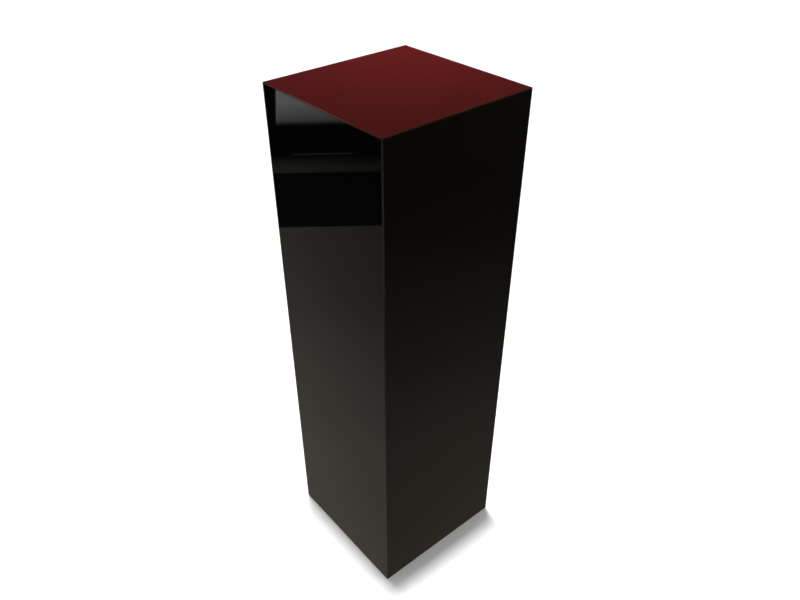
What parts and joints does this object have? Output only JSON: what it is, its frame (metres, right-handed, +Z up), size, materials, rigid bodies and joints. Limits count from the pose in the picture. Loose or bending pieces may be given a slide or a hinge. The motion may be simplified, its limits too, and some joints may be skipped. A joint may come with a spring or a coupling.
{
  "type": "display plinth",
  "caption": "Tall square free-standing display plinth with high-gloss black sides, a burgundy gloss top and levelling feet hidden inside its base.",
  "frame": {"origin": "centre of the footprint at floor level, with the feet screwed fully in", "axes": "+Z up, +X out of the right face, -Y out of the front face"},
  "size_m": [0.3, 0.3, 1],
  "materials": {
    "black_gloss": "mirror gloss black",
    "burgundy_gloss": "high-gloss burgundy",
    "fibreboard": "raw sawn and sanded",
    "softwood": "planed",
    "zinc_steel": "zinc plated",
    "stem_steel": "zinc plated",
    "nylon": "fine moulded texture",
    "rubber": "matte"
  },
  "bodies": {
    "root": {"top_facing": "burgundy_gloss", "front_facing": "black_gloss", "right_facing": "black_gloss", "back_facing": "black_gloss", "left_facing": "black_gloss", "top_board": "fibreboard", "front_board": "fibreboard", "right_board": "fibreboard", "back_board": "fibreboard", "left_board": "fibreboard", "base_board": "fibreboard", "corner_post_1": "softwood", "corner_post_2": "softwood", "corner_post_3": "softwood", "corner_post_4": "softwood", "front_top_rail": "softwood", "right_top_rail": "softwood", "back_top_rail": "softwood", "left_top_rail": "softwood", "front_base_rail": "softwood", "right_base_rail": "softwood", "back_base_rail": "softwood", "left_base_rail": "softwood", "top_screw_1": "zinc_steel", "top_screw_2": "zinc_steel", "top_screw_3": "zinc_steel", "top_screw_4": "zinc_steel", "top_screw_5": "zinc_steel", "top_screw_6": "zinc_steel", "top_screw_7": "zinc_steel", "top_screw_8": "zinc_steel", "base_screw_1": "zinc_steel", "base_screw_2": "zinc_steel", "base_screw_3": "zinc_steel", "base_screw_4": "zinc_steel", "base_screw_5": "zinc_steel", "base_screw_6": "zinc_steel", "base_screw_7": "zinc_steel", "base_screw_8": "zinc_steel", "insert_nut_1": "zinc_steel", "insert_nut_2": "zinc_steel", "insert_nut_3": "zinc_steel", "insert_nut_4": "zinc_steel"},
    "foot_1_pad": {"foot_sole_1": "rubber", "foot_pad_1": "nylon"},
    "foot_1_stem": {"foot_stem_1": "stem_steel"},
    "foot_2_pad": {"foot_sole_2": "rubber", "foot_pad_2": "nylon"},
    "foot_2_stem": {"foot_stem_2": "stem_steel"},
    "foot_3_pad": {"foot_sole_3": "rubber", "foot_pad_3": "nylon"},
    "foot_3_stem": {"foot_stem_3": "stem_steel"},
    "foot_4_pad": {"foot_sole_4": "rubber", "foot_pad_4": "nylon"},
    "foot_4_stem": {"foot_stem_4": "stem_steel"}
  },
  "joints": [
    {"name": "foot_1_height", "type": "slide", "parent": "root", "child": "foot_1_pad", "axis": [0, 0, 1], "range_m": [-0.012, 0]},
    {"name": "foot_1_turn", "type": "hinge", "parent": "foot_1_pad", "child": "foot_1_stem", "pos_m": [0.098, -0.098, 0.01], "axis": [0, 0, 1], "range_deg": [-3456.01, 0]},
    {"name": "foot_2_height", "type": "slide", "parent": "root", "child": "foot_2_pad", "axis": [0, 0, 1], "range_m": [-0.012, 0]},
    {"name": "foot_2_turn", "type": "hinge", "parent": "foot_2_pad", "child": "foot_2_stem", "pos_m": [0.098, 0.098, 0.01], "axis": [0, 0, 1], "range_deg": [-3456.01, 0]},
    {"name": "foot_3_height", "type": "slide", "parent": "root", "child": "foot_3_pad", "axis": [0, 0, 1], "range_m": [-0.012, 0]},
    {"name": "foot_3_turn", "type": "hinge", "parent": "foot_3_pad", "child": "foot_3_stem", "pos_m": [-0.098, 0.098, 0.01], "axis": [0, 0, 1], "range_deg": [-3456.01, 0]},
    {"name": "foot_4_height", "type": "slide", "parent": "root", "child": "foot_4_pad", "axis": [0, 0, 1], "range_m": [-0.012, 0]},
    {"name": "foot_4_turn", "type": "hinge", "parent": "foot_4_pad", "child": "foot_4_stem", "pos_m": [-0.098, -0.098, 0.01], "axis": [0, 0, 1], "range_deg": [-3456.01, 0]}
  ],
  "couplings": [
    {"joint": "foot_1_turn", "follows": "foot_1_height", "rad_per_m": 5026.5},
    {"joint": "foot_2_turn", "follows": "foot_2_height", "rad_per_m": 5026.5},
    {"joint": "foot_3_turn", "follows": "foot_3_height", "rad_per_m": 5026.5},
    {"joint": "foot_4_turn", "follows": "foot_4_height", "rad_per_m": 5026.5}
  ]
}
